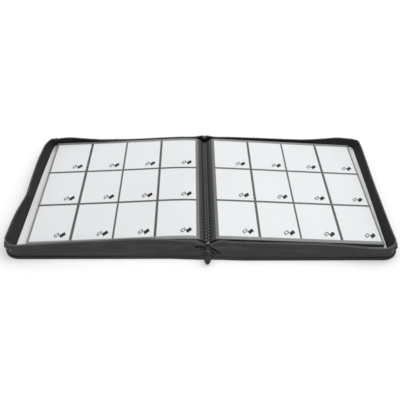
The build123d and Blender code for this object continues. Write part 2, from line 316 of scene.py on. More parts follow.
def slab(outline, thickness, edge, origin, axes):
    """An outline given a thickness, its two rims rounded by a quarter circle of radius edge.
    The axes are the directions of the outline's two coordinates and of the thickness."""
    quarter = np.linspace(0, np.pi / 2, 4)
    insets = edge * (1 - np.sin(quarter))
    heights = edge * (1 - np.cos(quarter)) - thickness / 2
    insets = np.concatenate([insets, insets[::-1]])
    heights = np.concatenate([heights, -heights[::-1]])
    rings = np.stack([np.column_stack([inset_outline(outline, i), np.full(len(outline), h)])
                      for i, h in zip(insets, heights)])
    return sweep(np.asarray(origin, float) + rings @ np.asarray(axes, float))


def pierced_slab(outline, hole, thickness, edge, origin, axes):
    """An outline with a hole of the same number of points, given a thickness, the outer rims rounded."""
    quarter = np.linspace(0, np.pi / 2, 4)
    half = thickness / 2
    levels = [(hole, 0, -half)]
    levels += [(outline, edge * (1 - np.sin(a)), edge * (1 - np.cos(a)) - half) for a in quarter]
    levels += [(outline, edge * (1 - np.sin(a)), half - edge * (1 - np.cos(a))) for a in quarter[::-1]]
    levels += [(hole, 0, half)]
    rings = np.stack([np.column_stack([inset_outline(o, i), np.full(len(o), h)]) for o, i, h in levels])
    return loop(np.asarray(origin, float) + rings @ np.asarray(axes, float))


def bead(length, radius, sides=6):
    """A small rod along the first axis with pinched ends."""
    angle = once_round(sides)
    at = np.array([-0.5, -0.36, 0.36, 0.5]) * length
    girth = (np.array([0.45, 1, 1, 0.45]) * radius)[:, None]
    along = np.repeat(at[:, None], sides, 1)
    return sweep(np.stack([along, girth * np.cos(angle), girth * np.sin(angle)], -1))


def place(name, shape, finish, slot, body=None, bend=None, stands_for=(), crisp=35, shade=None):
    """Puts a shape in the scene as a piece with outward faces, its finish, and what it follows."""
    points, faces = shape
    mesh = bpy.data.meshes.new(name)
    mesh.from_pydata((points * MM).tolist(), [], faces)
    if shade is not None:
        attribute = mesh.attributes.new("pale", "FLOAT", "POINT")
        attribute.data.foreach_set("value", shade.astype(np.float32))
    work = bmesh.new()
    work.from_mesh(mesh)
    bmesh.ops.recalc_face_normals(work, faces=work.faces)
    work.to_mesh(mesh)
    work.free()
    mesh.shade_smooth()
    mesh.set_sharp_from_angle(angle=np.radians(crisp))
    mesh.materials.append(finish)
    piece = bpy.data.objects.new(name, mesh)
    bpy.context.scene.collection.objects.link(piece)
    if bend:
        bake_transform(piece)
    else:
        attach(piece, body)
    if stands_for:
        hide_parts(*stands_for)
    return piece


# Finishes ----------------------------------------------------------------------------------------

class Finish:
    """A material being made: its shader, and short names for the nodes that feed it."""

    def __init__(self, name, roughness, specular=0.5):
        self.material = bpy.data.materials.new(name)
        self.material.use_nodes = True
        self.tree = self.material.node_tree
        self.shader = self.tree.nodes["Principled BSDF"]
        self.feed(self.shader, {"Roughness": roughness, "Specular IOR Level": specular})
        self.place = self.tree.nodes.new("ShaderNodeTexCoord").outputs["Object"]

    def feed(self, node, values):
        """Joins a node's sockets to others, or sets their values."""
        for socket, value in values.items():
            if isinstance(value, bpy.types.NodeSocket):
                self.tree.links.new(value, node.inputs[socket])
            else:
                node.inputs[socket].default_value = value
        return node

    def node(self, kind, values, **settings):
        """A new node with its settings and its sockets' values."""
        made = self.tree.nodes.new("ShaderNode" + kind)
        for key, value in settings.items():
            setattr(made, key, value)
        return self.feed(made, values)

    def stretched(self, scale):
        return self.node("Mapping", {"Vector": self.place, "Scale": scale}).outputs["Vector"]

    def noise(self, scale, detail=4.0, along=None):
        values = {"Vector": along or self.place, "Scale": scale, "Detail": detail}
        return self.node("TexNoise", values).outputs["Fac"]

    def cells(self, scale):
        return self.node("TexVoronoi", {"Vector": self.place, "Scale": scale}).outputs["Distance"]

    def stripes(self, scale, direction):
        values = {"Vector": self.place, "Scale": scale, "Distortion": 0.4}
        return self.node("TexWave", values, bands_direction=direction).outputs["Fac"]

    def sums(self, operation, first, second):
        return self.node("Math", {0: first, 1: second}, operation=operation).outputs[0]

    def range(self, value, low, high, out_low, out_high):
        values = {"Value": value, "From Min": low, "From Max": high, "To Min": out_low, "To Max": out_high}
        return self.node("MapRange", values).outputs["Result"]

    def mixed(self, share, first, second):
        return self.node("Mix", {0: share, 6: first, 7: second}, data_type="RGBA").outputs[2]

    def attribute(self, name):
        return self.node("Attribute", {}, attribute_name=name).outputs["Fac"]

    def done(self, colour, roughness=None, relief=None, distance=0.0002, strength=0.6):
        """Joins colour, roughness and relief to the shader."""
        self.feed(self.shader, {"Base Color": colour})
        if roughness is not None:
            self.feed(self.shader, {"Roughness": roughness})
        if relief is not None:
            values = {"Height": relief, "Distance": distance, "Strength": strength}
            self.feed(self.shader, {"Normal": self.node("Bump", values).outputs["Normal"]})
        return self.material


def tone(colour, factor):
    """A colour with opacity, made darker or lighter."""
    return tuple(min(1.0, c * factor) for c in colour[:3]) + (1.0,)


def made_once(maker):
    """A maker of finishes that hands out the finish of that name where there is one already."""
    def finish(name, *values, **settings):
        return bpy.data.materials.get(name) or maker(name, *values, **settings)
    return finish


@made_once
def leatherette(name, streaks):
    """Charcoal vinyl: fine pebbled grain, soft blotches that are duller or smoother, and paler streaks that are
    painted highlights.
    """
    colour = bpy.context.scene.binder_case.leatherette_colour
    f = Finish(name, 0.5, 0.45)
    grain = f.cells(760.0)
    fine = f.noise(1500.0, 3.0)
    blotch = f.noise(26.0, 5.0)
    painted_highlight_streak = f.noise(60.0, 3.0, f.stretched((0.35, 0.35, 3.2)))
    shades = f.mixed(blotch, tone(colour, 0.68), tone(colour, 1.25))
    # Paler streaks of painted highlight, mixed in up to the streaks amount
    shades = f.mixed(f.range(painted_highlight_streak, 0.45, 0.72, 0.0, streaks), shades, tone(colour, 2.5))
    relief = f.sums("ADD", grain, f.sums("MULTIPLY", fine, 0.35))
    return f.done(shades, f.range(blotch, 0.3, 0.7, 0.42, 0.58), relief, 0.00022, 0.55)


def highlight_streaked_leatherette():
    """The vinyl of the walls, the gussets and the piping, with strong streaks of painted highlight."""
    return leatherette("highlight streaked leatherette", 0.75)


@made_once
def woven(name, colour, pitch, roughness=0.8, streaks=0.0, cloudy=0.4):
    """A plain weave: crossed threads as relief and as a slight change of shade, with optional faint streaks."""
    f = Finish(name, roughness, 0.25)
    across, along = f.stripes(pitch, "X"), f.stripes(pitch, "Y")
    weave = f.sums("MULTIPLY", across, along)
    cloud = f.noise(18.0, 4.0)
    shades = f.mixed(weave, tone(colour, 0.86), tone(colour, 1.08))
    shades = f.mixed(f.range(cloud, 0.35, 0.7, 0.0, cloudy), shades, tone(colour, 0.82))
    if streaks:
        wave = f.noise(24.0, 3.0, f.stretched((4.0, 0.6, 1.0)))
        shades = f.mixed(f.range(wave, 0.48, 0.66, 0.0, streaks), shades, tone(colour, 0.6))
    return f.done(shades, f.range(weave, 0, 1, roughness, roughness - 0.12), weave, 0.00015, 0.4)


@made_once
def plastic(name, colour, roughness, specular=0.5, pale=None, alpha=None):
    """Polypropylene or nylon: faintly mottled, finely matt, paler where marked: welds, dots, painted shade."""
    f = Finish(name, roughness, specular)
    cloud, fine = f.noise(30.0, 3.0), f.noise(700.0, 2.0)
    shades = f.mixed(cloud, tone(colour, 0.9), tone(colour, 1.1))
    if pale:
        shades = f.mixed(f.attribute("pale"), shades, f.mixed(cloud, tone(pale, 0.92), tone(pale, 1.08)))
    if alpha is not None:
        f.feed(f.shader, {"Alpha": alpha})
    return f.done(shades, f.range(cloud, 0.3, 0.7, roughness * 0.85, roughness * 1.15), fine, 0.00006, 0.3)


@made_once
def metal(name, colour, roughness):
    """Plated metal: a fine brushed relief, and duller patches where hands have worn it."""
    f = Finish(name, roughness)
    f.feed(f.shader, {"Metallic": 0.85})
    brushed = f.noise(900.0, 2.0, f.stretched((1.0, 1.0, 0.12)))
    patch = f.noise(240.0, 4.0)
    shades = f.mixed(patch, tone(colour, 0.7), tone(colour, 1.25))
    return f.done(shades, f.range(patch, 0.3, 0.7, roughness * 0.8, roughness * 1.3), brushed, 0.00005, 0.35)


@made_once
def card_stock(name):
    """Blank coated card: nearly white, slightly glossy, with the faintest fibre."""
    colour = bpy.context.scene.binder_pages.card_colour
    f = Finish(name, 0.35, 0.5)
    fibre = f.noise(420.0, 5.0)
    cloud = f.noise(7.0, 2.0)
    shades = f.mixed(cloud, tone(colour, 0.97), tone(colour, 1.03))
    shades = f.mixed(f.range(fibre, 0.4, 0.7, 0.0, 0.12), shades, tone(colour, 0.9))
    return f.done(shades, f.range(cloud, 0.3, 0.7, 0.3, 0.42), fibre, 0.00002, 0.2)


def dress(nodes, finish):
    """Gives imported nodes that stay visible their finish."""
    for name in nodes:
        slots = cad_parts[name].data.materials
        slots.clear()
        slots.append(finish)


# Settings ----------------------------------------------------------------------------------------

def size(name, description, default, low, high):
    """A length that the panel shows, given in millimetres."""
    return FloatProperty(name=name, description=description, default=default * MM, min=low * MM, max=high * MM,
                         unit="LENGTH", subtype="DISTANCE", precision=4)


def shade(name, description, default):
    """A colour that the panel shows."""
    return FloatVectorProperty(name=name, description=description, default=default, size=3, min=0, max=1,
                               subtype="COLOR")


class BinderCaseSettings(bpy.types.PropertyGroup):
    """Sizes and colours of the soft case."""

    corner_radius: size("Corner radius", "Radius of the covers' free corners in plan", 27, 10, 60)
    wall_foot_inset: size("Wall foot inset", "Outer face of the wall behind the outline, at its foot", 2.7, 1, 8)
    wall_foot_width: size("Wall foot width", "Thickness of the wall where it stands on the lining", 13.0, 4, 16)
    wall_head_width: size("Wall head width", "Thickness of the wall under the zip", 2.2, 1, 5)
    wall_bulge: size("Wall bulge", "How far the middle of the wall swells out", 1.5, 0, 4)
    wall_ribs: size("Wall ribs", "Height of the soft ribs along the wall", 0.8, 0, 2)
    unevenness: FloatProperty(name="Unevenness", description="How differently the two covers' walls lean",
                              default=1.0, min=0, max=1.5, subtype="FACTOR")
    swing: size("Swing", "How far the right front edge is pushed forward, and the left one back", 2.2, 0, 5)
    skew: size("Skew", "How far the soft case is pushed to the left at its front corners", 5.2, 0, 10)
    back_skew: size("Back skew", "How far the back corners are drawn to the right", 3.0, 0, 6)
    pleat_depth: size("Pleat depth", "How far the wall is gathered in at a corner", 4.2, 0, 5)
    crease_depth: size("Crease depth", "Depth of the folds beside the zip's front end", 3.4, 0, 6)
    stitch_pitch: size("Stitch pitch", "Distance between stitches round the foot of the wall", 4.0, 2, 8)
    welt_radius: size("Welt radius", "Radius of the piping round the case's edge", 1.4, 0.6, 3)
    leatherette_colour: shade("Leatherette", "Colour of the vinyl", (0.0128, 0.0143, 0.0130))
    lining_colour: shade("Lining", "Colour of the pale lining", (0.98, 0.99, 0.98))
    thread_colour: shade("Thread", "Colour of the stitches", (0.035, 0.037, 0.035))


class BinderPageSettings(bpy.types.PropertyGroup):
    """Sizes and colours of the pocket pages."""

    row_weld: size("Row weld", "Width of the weld between two rows", 4.6, 1, 6)
    edge_weld: size("Edge weld", "Width of the weld along the leaf's front and back edge", 7.0, 2, 9)
    middle_weld: size("Middle weld", "Width of the weld between the second and third column", 3.2, 1, 6)
    leaf_swell: size("Leaf swell", "How far the left leaf swells up near the gutter", 2.0, 0, 2.2)
    weld_dot_pitch: size("Weld dot pitch", "Distance between the pressed dots of a weld", 3.0, 1.5, 6)
    weld_dot_depth: size("Weld dot depth", "Depth of a pressed dot", 0.16, 0, 0.5)
    binding_dot_pitch: size("Binding dot pitch", "Distance between the binding's dots", 7.6, 3, 10)
    film_crown: size("Film swell", "How far a filled pocket's film stands above its weld", 0.38, 0.1, 0.8)
    mark_width: size("Mark width", "Width of the pair of printed diamonds", 18.5, 8, 30)
    mark_height: size("Mark height", "Height of the printed diamonds", 12.6, 4, 20)
    card_corner: size("Card corner", "Radius of a card's corners", 1.2, 0, 4)
    sheet_colour: shade("Sheet", "Colour of the backing sheets", (0.030, 0.033, 0.030))
    weld_colour: shade("Weld", "Colour of the welds between pockets", (0.075, 0.081, 0.078))
    edge_weld_colour: shade("Edge weld colour", "Colour of the frosted welds round a leaf",
                            (0.195, 0.209, 0.203))
    gutter_colour: shade("Gutter", "Colour of the binding margin", (0.0060, 0.0060, 0.0060))
    card_colour: shade("Card", "Colour of the blank cards", (0.735, 0.748, 0.762))
    mark_colour: shade("Mark", "Colour of the printed diamonds", (0.006, 0.006, 0.006))


class BinderZipSettings(bpy.types.PropertyGroup):
    """Sizes and colours of the zip."""

    tooth_pitch: size("Tooth pitch", "Distance between the coil's turns", 2.1, 1, 4)
    tooth_width: size("Tooth width", "Width of the coil", 2.5, 1.5, 5)
    tape_height: size("Tape height", "How much tape shows above the wall", 3.0, 1, 5)
    # The tape's and the coil's greys are partly their own colour and partly painted light for the wall's lit top
    # edge
    tape_colour: shade("Tape", "Colour of the zip's tape", (0.105, 0.11, 0.105))
    tooth_colour: shade("Teeth", "Colour of the coil", (0.085, 0.09, 0.086))
    metal_colour: shade("Slider", "Colour of the slider and its pull", (0.05, 0.05, 0.038))
    stop_colour: shade("End stop", "Colour of the zip's end stop", (0.22, 0.22, 0.21))


class BinderStageSettings(bpy.types.PropertyGroup):
    """The view and the light."""

    lens: FloatProperty(name="Lens", description="Focal length", default=46.8, min=10, max=200, unit="CAMERA")
    distance: size("Distance", "From the camera to the point that it looks at", 949, 300, 4000)
    elevation: FloatProperty(name="Elevation", description="Camera's angle above the table",
                             default=np.radians(41.9), subtype="ANGLE", unit="ROTATION")
    turn: FloatProperty(name="Turn", description="Camera's angle round the binder",
                        default=np.radians(-3.2), subtype="ANGLE", unit="ROTATION")
    roll: FloatProperty(name="Roll", description="Camera's tilt", default=np.radians(2.27),
                        subtype="ANGLE", unit="ROTATION")
    sky: FloatProperty(name="Sky", description="Strength of the light from all round", default=0.92,
                       min=0, max=5)
    key: FloatProperty(name="Key light", description="Power of the large soft light", default=15,
                       min=0, max=500, unit="POWER")
    floor_colour: shade("Floor", "Colour of the floor", (0.97, 0.97, 0.97))


# Case --------------------------------------------------------------------------------------------

def panel(side, start, inset, rows=64):
    """A cover's plan as a grid: lines across it at steps of x, each as long as the outline is deep there,
    with the square root of a circle giving the depth at the rounded corners. The steps are finer as far as
    the fold."""
    radius, straight = outline_corner()
    corner = straight + (radius - inset) * np.sin(np.linspace(0, np.pi / 2, 14)[1:])
    past_fold = FOLD + 8
    near = np.linspace(start, past_fold, 28)
    x = np.concatenate([near, np.linspace(past_fold, straight, 60)[1:], corner])
    over = np.clip(x - straight, 0, radius - inset)
    half = HALF_DEPTH - radius + np.sqrt(np.maximum((radius - inset) ** 2 - over ** 2, 0))
    share = np.linspace(-1, 1, rows)
    grid = np.zeros((len(x), rows, 3))
    grid[..., 0] = side * x[:, None]
    grid[..., 1] = half[:, None] * share
    return skewed(grid)


def cover_bend(name, side, start=20.0, end=28.0):
    """A cover's bodies and the line across which its cloth turns."""
    return "spine", f"{name}_cover", (side * start, 0, 0), (side * end, 0, 0)


GROOVE_DEPTH, GROOVE_WIDTH = 0.4, 1.3  # of the hinge groove under a fold


class BINDER_OT_skins(bpy.types.Operator):
    """Outer vinyl of both covers and the spine, with a hinge groove underneath along each fold"""

    bl_idname = "binder.skins"
    bl_label = "Outer vinyl"

    def execute(self, context):
        for name, side in SIDES.items():
            grid = panel(side, 0.0, 0.0)
            groove = GROOVE_DEPTH * bell(np.abs(grid[..., 0]) - FOLD, GROOVE_WIDTH)
            grid[..., 2] = SKIN_TOP
            nodes = [f"{name}_cover_skin"] + (["spine_skin"] if side > 0 else [])
            vinyl = leatherette("charcoal leatherette", 0.12)
            place(f"{name}_case_vinyl", shell(grid, SKIN_TOP - groove), vinyl, "leatherette",
                  bend=cover_bend(name, side), stands_for=nodes)
        return {"FINISHED"}


LINING_INSET = 2.6  # of the visible lining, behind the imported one's free edges
LINING_DROP, LINING_WAVE = 0.16, 0.14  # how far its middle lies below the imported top, and how far it waves


class BINDER_OT_linings(bpy.types.Operator):
    """Pale lining of each cover, with a slow unevenness, and the finishes of the boards under it"""

    bl_idname = "binder.linings"
    bl_label = "Lining and boards"

    def execute(self, context):
        colour = context.scene.binder_case.lining_colour
        board = woven("grey board", (0.28, 0.27, 0.25), 90.0, 0.85)
        for name, side in SIDES.items():
            grid = panel(side, LINING_LOW[0], REACH - LINING_HIGH[0] + LINING_INSET)
            wave = LINING_WAVE * ripple(grid[..., 0] / 90, grid[..., 1] / 90, 3)
            grid[..., 2] = LINING_HIGH[2] - LINING_DROP + wave
            place(f"{name}_pale_lining", shell(grid, LINING_HIGH[2] - LINING_LOW[2] - LINING_DROP + wave),
                  woven("pale lining", colour, 260.0, 0.6, 0.1, 0.1), "lining", body=f"{name}_cover",
                  stands_for=[f"{name}_cover_lining"])
            low, high = span("right_cover_board")
            grid = panel(side, low[0], REACH - high[0])
            grid[..., 2] = high[2]
            thickness = np.full(grid.shape[:2], high[2] - low[2])
            place(f"{name}_stiff_board", shell(grid, thickness), board, "board", body=f"{name}_cover",
                  stands_for=[f"{name}_cover_board"])
        dress(["spine_lining"], woven("spine lining", (0.05, 0.052, 0.05), 260.0))
        dress(["spine_board"], board)
        dress(["binding_strip"], plastic("binding plastic", (0.03, 0.03, 0.03), 0.45))
        return {"FINISHED"}


FURROW_FALL = 0.025  # how much of the slope a furrow falls with each millimetre away from the zip's end
FURROW_FALL_DIFFERENCE = 0.011  # how much more on the right, and less on the left


def furrow(across_slope, width, end, reach, fade):
    """A bell across the slope, fading in within 4 mm of the rim's end and fading out up to its reach."""
    return bell(across_slope, width) * (smooth_step((end - 1) / 3) * smooth_step((reach - end) / fade))


def wall_section(side, stations, steps, foot_width, fold_depth):
    """Sections of the wall, from its outer foot round its head to its inner foot.
    The outer face is a straight slope, plus a half sine wave for the swell, plus ribs of a sine along the slope
    whose phase drifts along the rim, less two furrows that run down and away from the zip's end with a lip over
    them, and less a bell for the gather at each corner. The inner face is hollow by a half sine wave."""
    case = bpy.context.scene.binder_case
    foot, top, slope, normal = rim_slope(side, stations)
    tape = bpy.context.scene.binder_zip.tape_height / MM + 1.2
    head = top - slope * tape
    t = np.linspace(0, 1, steps)
    along = stations[:, None]
    belly = np.sin(np.pi * t)
    swell = case.wall_bulge / MM * belly ** 0.8 * (1 + 0.25 * ripple(along / 160, 0 * along, 7))
    phase = 2.3 * t + 0.35 * ripple(along / 210, 0 * along, 11)
    swell = swell + case.wall_ribs / MM * np.sin(2 * np.pi * phase) * belly
    swell = swell + 0.35 * ripple(along / 34, t[None] * 0.6, 5) * belly
    end = np.minimum(along, rim_length() - along)
    fall = (FURROW_FALL + FURROW_FALL_DIFFERENCE * side) * end
    upper = furrow(t - (0.95 - fall), 0.06, end, 25, 8)
    lip = furrow(t - (1.09 - fall), 0.08, end, 25, 8)
    lower = furrow(t - (0.78 - 1.5 * fall), 0.06, end, 15, 6)
    swell = swell + fold_depth * (0.45 * lip - upper - 0.6 * lower)
    radius, straight = outline_corner()
    corner = np.abs(end - straight - radius * np.pi / 4)
    pleat = bell(corner, 4.5) - 0.45 * bell(corner - 10, 5)
    swell = swell - case.pleat_depth / MM * pleat * smooth_step((t - 0.12) / 0.35)
    outer = foot[:, None] + (head - foot)[:, None] * t[None, :, None] + normal[:, None] * swell[..., None]
    width = case.wall_head_width / MM
    angle = np.linspace(0, np.pi, 7)[1:-1]
    middle = head - normal * width / 2
    crown = (middle[:, None] + normal[:, None] * np.cos(angle)[None, :, None] * width / 2
             + slope[:, None] * np.sin(angle)[None, :, None] * width / 2)
    inner_head = head - normal * width
    inner_foot = foot + np.stack([foot_width, np.zeros_like(foot_width)], -1)
    back = np.linspace(1, 0, 12)
    inner = inner_foot[:, None] + (inner_head - inner_foot)[:, None] * back[None, :, None]
    hollow = np.sin(np.pi * back) * np.minimum(foot_width, 6)[:, None] * 0.18
    wrinkle = 0.25 * ripple(along / 26, back[None] * 0.8, 9) * np.sin(np.pi * back)
    inner[..., 0] -= hollow + wrinkle
    return np.concatenate([outer, crown, inner], axis=1)


GUSSET_FOOT = 3.0  # thickness of a gusset where it stands on the lining
BACK_FOOT_EXTRA = 2.0  # how much thicker the wall's foot is at the back
HALFWAY = 473  # round the rim
INNER_FACE_POINTS = 13  # of a wall section, from the end of its head to its inner foot


class BINDER_OT_walls(bpy.types.Operator):
    """Stiffened vinyl wall round three edges of each cover, leaning and swelling as the soft case does"""

    bl_idname = "binder.walls"
    bl_label = "Walls"

    def execute(self, context):
        case = context.scene.binder_case
        stations = np.linspace(WALL_START, rim_length() - WALL_START, 330)
        end = np.minimum(stations, rim_length() - stations) - WALL_START
        back = smooth_step((stations - HALFWAY) / 200)
        foot_width = case.wall_foot_width / MM + BACK_FOOT_EXTRA * back
        width = GUSSET_FOOT + (foot_width - GUSSET_FOOT) * smooth_step(end / 30)
        for name, side in SIDES.items():
            section = wall_section(side, stations, 22, width, 0.0)
            place(f"{name}_vinyl_wall", sweep(on_rim(side, stations, section)), highlight_streaked_leatherette(),
                  "leatherette", body=f"{name}_cover", stands_for=[f"{name}_wall"], crisp=50)
            # A dark sheet laid just inside the wall's inner face: painted shade for the inside of the wall
            face = section[:, -INNER_FACE_POINTS:].copy()
            face[..., 0] += 0.45
            face = on_rim(side, stations, face)
            out = np.broadcast_to(rim(side, stations)[1][:, None], face.shape)
            both = np.concatenate([face, (face + out * 0.4)[:, ::-1]], axis=1)
            shade_sheet = woven("black facing", (0.024, 0.0255, 0.024), 420.0, 0.8)
            place(f"{name}_wall_shade_sheet", sweep(both), shade_sheet, "lining", body=f"{name}_cover", crisp=50)
        return {"FINISHED"}


class BINDER_OT_gussets(bpy.types.Operator):
    """Creased vinyl at both ends of the spine, drawn down to the zip's end stop at the front"""

    bl_idname = "binder.gussets"
    bl_label = "End gussets"

    def execute(self, context):
        case = context.scene.binder_case
        reach = np.linspace(0.05, WALL_START, 56)
        for name, side in SIDES.items():
            for end, stations in {"front": reach, "back": rim_length() - reach}.items():
                depth = case.crease_depth / MM * (1.0 if end == "front" else 0.25)
                section = wall_section(side, stations, 40, np.full_like(stations, GUSSET_FOOT), depth)
                place(f"{name}_{end}_end_vinyl", sweep(on_rim(side, stations, section)), highlight_streaked_leatherette(),
                      "leatherette", bend=cover_bend(name, side, 10.0, WALL_START),
                      stands_for=[f"{name}_{end}_gusset"], crisp=60)
        return {"FINISHED"}


STITCH_RISE, STITCH_OUT = 2.6, 0.62  # of the stitches, up the wall from its foot and out from its face


class BINDER_OT_welts(bpy.types.Operator):
    """Piping round the case's edge, and the stitches just above it"""

    bl_idname = "binder.welts"
    bl_label = "Piping and stitches"

    def execute(self, context):
        case = context.scene.binder_case
        radius = case.welt_radius / MM
        length = rim_length()
        stations = np.linspace(0.05, length - 0.05, 760)
        angle = once_round(10)
        swell = radius * (1 + 0.05 * np.sin(2 * np.pi * stations / (case.stitch_pitch / MM)))[:, None]
        low, high = span("right_piping")
        middle = (low[2] + high[2]) / 2
        section = np.stack([radius + swell * np.cos(angle), middle + swell * np.sin(angle)], -1)
        count = int(length / (case.stitch_pitch / MM))
        at = (np.arange(count) + 0.5) * length / count
        for name, side in SIDES.items():
            place(f"{name}_edge_piping", sweep(on_rim(side, stations, section)), highlight_streaked_leatherette(),
                  "leatherette", bend=cover_bend(name, side), stands_for=[f"{name}_piping"])
            foot, _, slope, normal = rim_slope(side, at)
            line = foot + slope * STITCH_RISE + normal * STITCH_OUT
            origins = on_rim(side, at, line[:, None])[:, 0]
            outward = rim(side, at)[1]
            tangent = np.stack([-outward[:, 1], outward[:, 0], 0 * at], -1)
            up = np.broadcast_to(np.array([0.0, 0.0, 1.0]), tangent.shape)
            axes = np.stack([tangent, outward, up], 1)
            place(f"{name}_edge_stitches", repeated(bead(2.7, 0.42), origins, axes),
                  woven("edge thread", case.thread_colour, 900.0, 0.7), "leatherette",
                  bend=cover_bend(name, side, 14.0, 40.0))
        return {"FINISHED"}


# Zip ---------------------------------------------------------------------------------------------

def tape_line(side, stations):
    """Middle of the zip tape's lower and upper edge above the wall, as pairs of inset and height."""
    case, zip_ = bpy.context.scene.binder_case, bpy.context.scene.binder_zip
    _, top, slope, normal = rim_slope(side, stations)
    shift = normal * case.wall_head_width / MM / 2
    upper = top - slope * 1.1 - shift
    return upper - slope * (zip_.tape_height / MM + 0.8), upper, slope, normal


def tape_shape(side, stations):
    """The tape as a narrow rounded band between its lower and upper edge."""
    lower, upper, _, normal = tape_line(side, stations)
    t = np.array([0, 0.5, 0.9, 1.0, 0.9, 0.5, 0])
    half = np.array([0.5, 0.55, 0.5, 0.0, -0.5, -0.55, -0.5])
    section = lower[:, None] + (upper - lower)[:, None] * t[None, :, None]
    return sweep(on_rim(side, stations, section + normal[:, None] * half[None, :, None]))


def teeth_shape(side, first, last):
    """The coil: one small rod across the tape at each turn."""
    zip_ = bpy.context.scene.binder_zip
    count = int((last - first) / (zip_.tooth_pitch / MM))
    at = first + (np.arange(count) + 0.5) * (last - first) / count
    _, upper, slope, normal = tape_line(side, at)
    origins = on_rim(side, at, (upper + slope * 0.35)[:, None])[:, 0]
    outward = rim(side, at)[1]
    up = np.array([0.0, 0.0, 1.0])
    rise = -outward * slope[:, :1] + up * slope[:, 1:]
    across = -outward * normal[:, :1] + up * normal[:, 1:]
    axes = np.stack([across, np.cross(rise, across), rise], 1)
    return repeated(bead(zip_.tooth_width / MM, 0.72), origins, axes)


class BINDER_OT_zip_halves(bpy.types.Operator):
    """Zip tape and coil along the top of each wall, and on over the end gussets"""

    bl_idname = "binder.zip_halves"
    bl_label = "Zip tape and coil"

    def execute(self, context):
        zip_ = context.scene.binder_zip
        tape = woven("zip tape", zip_.tape_colour, 700.0, 0.75)
        coil = plastic("zip coil", zip_.tooth_colour, 0.35, 0.5)
        length = rim_length()
        runs = {"cover": (WALL_START, length - WALL_START), "front_end": (3.0, WALL_START),
                "back_end": (length - WALL_START, length - 1.5)}
        for name, side in SIDES.items():
            for part, (first, last) in runs.items():
                stations = np.linspace(first, last, int((last - first) / 3) + 2)
                whole = part == "cover"
                label = name if whole else f"{name}_{part}"
                bend = cover_bend(name, side, 10.0, WALL_START)
                follow = {"body": f"{name}_cover"} if whole else {"bend": bend}
                place(f"{label}_tape", tape_shape(side, stations), tape, "zip_tape",
                      stands_for=[f"{name}_zip_tape"] if whole else (), **follow)
                place(f"{label}_coil", teeth_shape(side, first, last), coil, "zip_teeth",
                      stands_for=[f"{name}_zip_teeth"] if whole else (), **follow)
        return {"FINISHED"}


UPRIGHT = np.array([(1, 0, 0), (0, 0, 1), (0, -1, 0)], float)  # width, height and thickness, facing the front


def middle_and_extent(node):
    """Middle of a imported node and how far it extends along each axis."""
    low, high = span(node)
    return (low + high) / 2, high - low


class BINDER_OT_zip_ends(bpy.types.Operator):
    """Tail and end stop at the front of the spine, and the folded tab at the back"""

    bl_idname = "binder.zip_ends"
    bl_label = "Zip ends"

    def execute(self, context):
        zip_ = context.scene.binder_zip
        tape = woven("zip tape", zip_.tape_colour, 700.0, 0.75)
        middle, extent = middle_and_extent("zip_tail")
        strip = slab(rounded_box_outline(extent[0], extent[2], 1.2), extent[1] * 0.7, 0.3, middle, UPRIGHT)
        turns = 8
        at = span("zip_tail")[0][2] + 1.5 + (np.arange(turns) + 0.5) * (extent[2] - 3) / turns
        origins = np.stack([0 * at, 0 * at + middle[1] - 0.35, at], -1)
        axes = np.broadcast_to(UPRIGHT, (turns, 3, 3))
        coil = repeated(bead(zip_.tooth_width / MM, 0.3), origins, axes)
        place("zip_tail_tape", joined([strip, coil]), tape, "zip_tape", body="spine", stands_for=["zip_tail"])
        middle, extent = middle_and_extent("zip_end_stop")
        clamp = slab(rounded_box_outline(extent[0], extent[2], 0.8), extent[1], 0.45, middle, UPRIGHT)
        ridge = slab(rounded_box_outline(extent[0] * 0.4, extent[2] * 1.1, 0.6), extent[1] * 1.15, 0.3, middle,
                     UPRIGHT)
        nickel = metal("nickel stop", zip_.stop_colour, 0.3)
        place("zip_stop_clamp", joined([clamp, ridge]), nickel, "stop_metal", body="spine",
              stands_for=["zip_end_stop"])
        middle, extent = middle_and_extent("back_zip_tab")
        folded = slab(rounded_box_outline(extent[0], extent[2], 1.5), extent[1], 0.9, middle, UPRIGHT)
        seam = slab(rounded_box_outline(extent[0] * 0.8, 0.7, 0.3), extent[1] * 1.1, 0.2, middle, UPRIGHT)
        place("back_tab_fold", joined([folded, seam]), tape, "zip_tape", body="spine",
              stands_for=["back_zip_tab"])
        return {"FINISHED"}


def circle(radius, steps):
    """A circle, anticlockwise from the first axis."""
    angle = once_round(steps)
    return np.stack([radius * np.cos(angle), radius * np.sin(angle)], -1)


def pull_pivot():
    """Middle of the pin that the pull swings on, in the slider's bridge."""
    low, high = span("zip_slider")
    return np.array([0, low[1] + 1.6, high[2] - 2.4])


SLIDER_DEPTH = 4.5  # over both plates, without the bridge
PLATE = 1.3  # thickness of a slider plate
PULL_LEAN = np.radians(25)  # how far the resting pull stands out from upright


